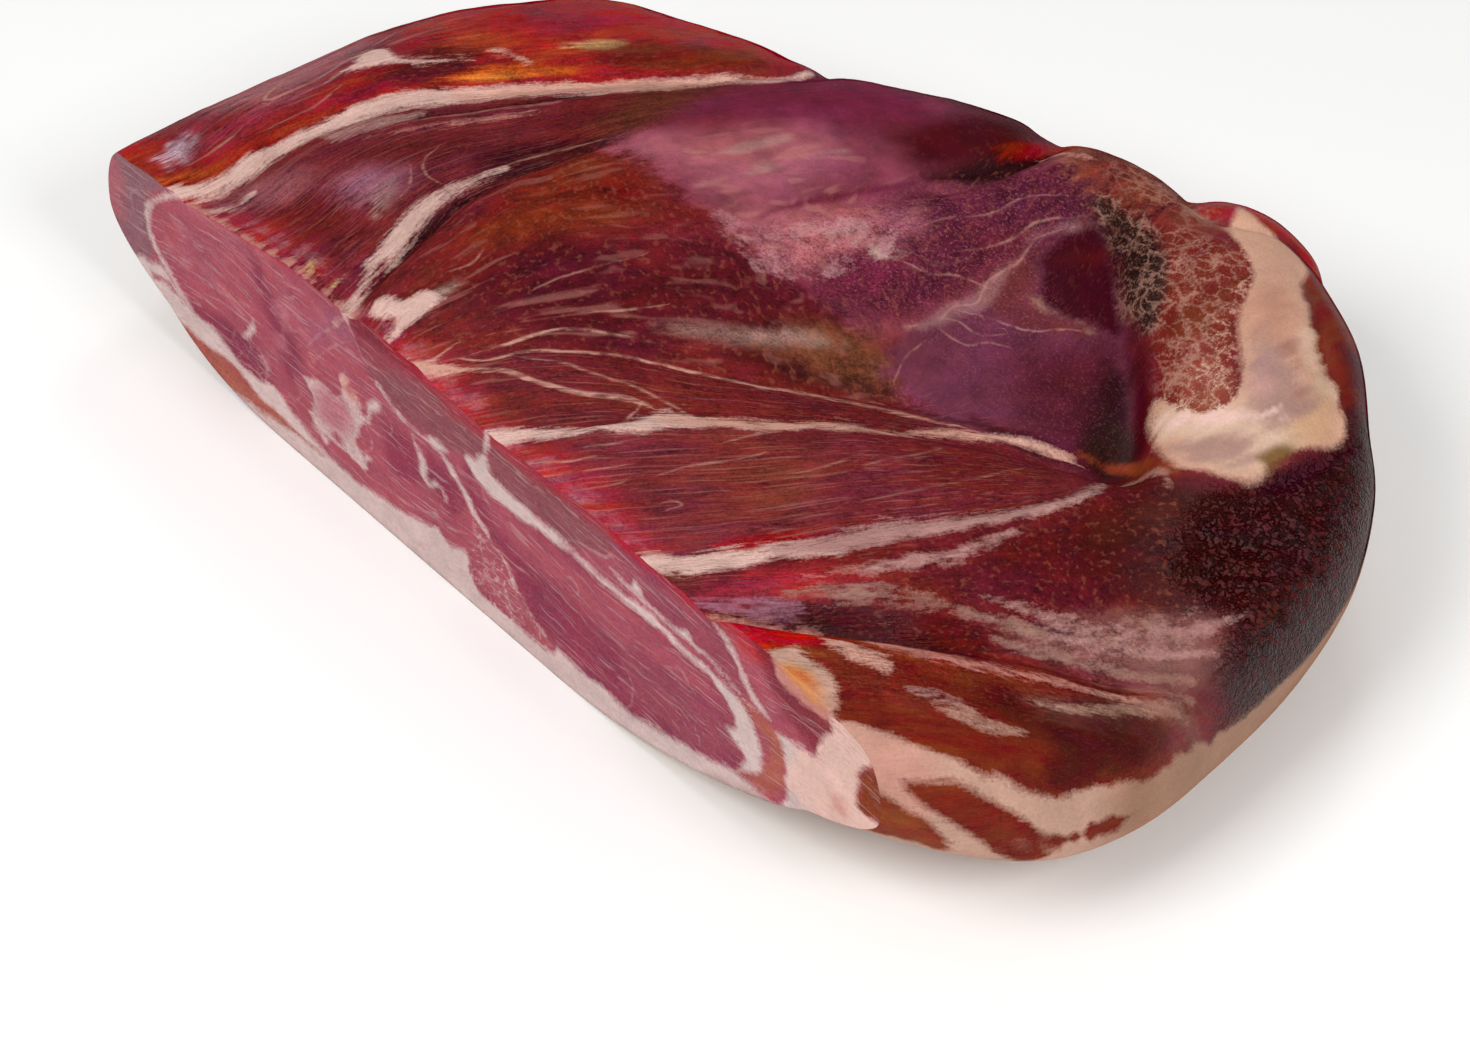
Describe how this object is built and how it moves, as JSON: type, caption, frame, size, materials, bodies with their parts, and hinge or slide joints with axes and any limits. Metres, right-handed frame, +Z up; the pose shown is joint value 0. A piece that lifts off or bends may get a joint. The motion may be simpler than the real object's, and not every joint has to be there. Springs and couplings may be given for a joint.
{
  "type": "boneless cured shoulder ham",
  "caption": "Whole boneless cured shoulder ham lying flat, with one straight knife cut, muscle lobes with fat seams, and the hollow that the shoulder blade left.",
  "frame": {"origin": "middle of the footprint, on the surface that the ham lies on", "axes": "+X along the knife cut, from the flap end to the thick lobe end; +Y back from the cut; the cut faces -Y; +Z up"},
  "size_m": [0.329, 0.211, 0.0691],
  "materials": {
    "cured_meat": "dry-cured lean meat in dark red to mauve with cream fat seams, satin with a greasy gloss"
  },
  "bodies": {
    "root": {"shoulder_ham": "cured_meat"}
  },
  "joints": []
}
